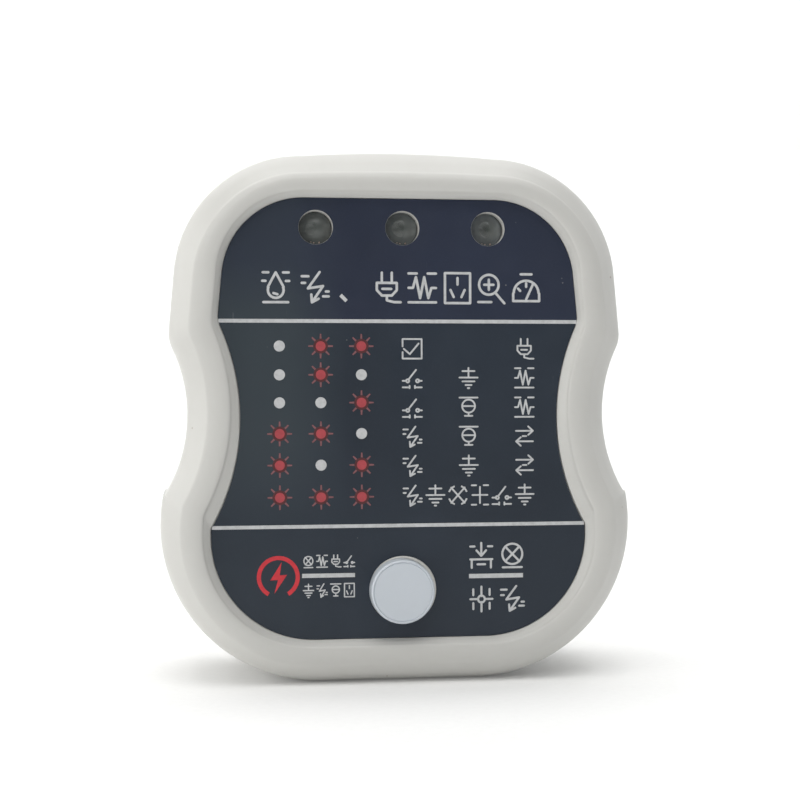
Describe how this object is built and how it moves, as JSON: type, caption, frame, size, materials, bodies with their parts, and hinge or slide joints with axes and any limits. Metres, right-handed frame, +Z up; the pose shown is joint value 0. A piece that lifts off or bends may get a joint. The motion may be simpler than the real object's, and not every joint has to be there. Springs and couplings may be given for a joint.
{
  "type": "outlet tester plug",
  "caption": "Hand-size plug-in socket tester: three-pin flat-blade plug, waisted two-shell casing with a raised rim and dark label, LED windows and a sprung leakage test button.",
  "frame": {"origin": "centre of the pin pattern on the rear seating face", "axes": "+X to the right seen from the front (label side), +Y out of the rear face along the pins into the wall, +Z up with the earth pin above the other two"},
  "size_m": [0.0724, 0.0522, 0.0805],
  "materials": {
    "case": "fine satin moulding",
    "label": "printed satin film",
    "led_lens": "clear cast resin",
    "button": "smooth moulding",
    "brass": "stamped, slightly brushed",
    "tinned_lead": "tinned wire",
    "screw_steel": "zinc plated",
    "spring_steel": "drawn wire",
    "board": "phenolic laminate",
    "black_moulding": "satin moulding",
    "grey_moulding": "satin moulding",
    "resistor": "lacquered",
    "power_resistor": "cement coated",
    "wire_live": "PVC insulation",
    "wire_neutral": "PVC insulation",
    "wire_earth": "PVC insulation"
  },
  "bodies": {
    "case": {"board_screw_1": "screw_steel", "board_screw_2": "screw_steel", "carrier_screw_1": "screw_steel", "carrier_screw_2": "screw_steel", "case_screw_1": "screw_steel", "case_screw_2": "screw_steel", "case_screw_3": "screw_steel", "case_screw_4": "screw_steel", "circuit_board": "board", "diode_1": "black_moulding", "diode_2": "black_moulding", "diode_3": "black_moulding", "front_cover": "case", "label_plate": "label", "led_centre": "led_lens", "led_centre_lead_a": "tinned_lead", "led_centre_lead_b": "tinned_lead", "led_left": "led_lens", "led_left_lead_a": "tinned_lead", "led_left_lead_b": "tinned_lead", "led_right": "led_lens", "led_right_lead_a": "tinned_lead", "led_right_lead_b": "tinned_lead", "led_spacer": "black_moulding", "pin_carrier": "black_moulding", "pin_earth": "brass", "pin_live": "brass", "pin_neutral": "brass", "power_resistor": "power_resistor", "rear_cover": "case", "resistor_1": "resistor", "resistor_2": "resistor", "resistor_3": "resistor", "switch_body": "grey_moulding", "wire_earth": "wire_earth", "wire_live": "wire_live", "wire_neutral": "wire_neutral", "button_spring": "spring_steel"},
    "test_button": {"button_cap": "button", "switch_plunger": "black_moulding"}
  },
  "joints": [
    {"name": "test_button_press", "type": "slide", "parent": "case", "child": "test_button", "axis": [0, 1, 0], "range_m": [0, 0.0015], "stiffness_N_per_m": 500, "springref_m": -0.002, "deforming": ["button_spring"]}
  ]
}
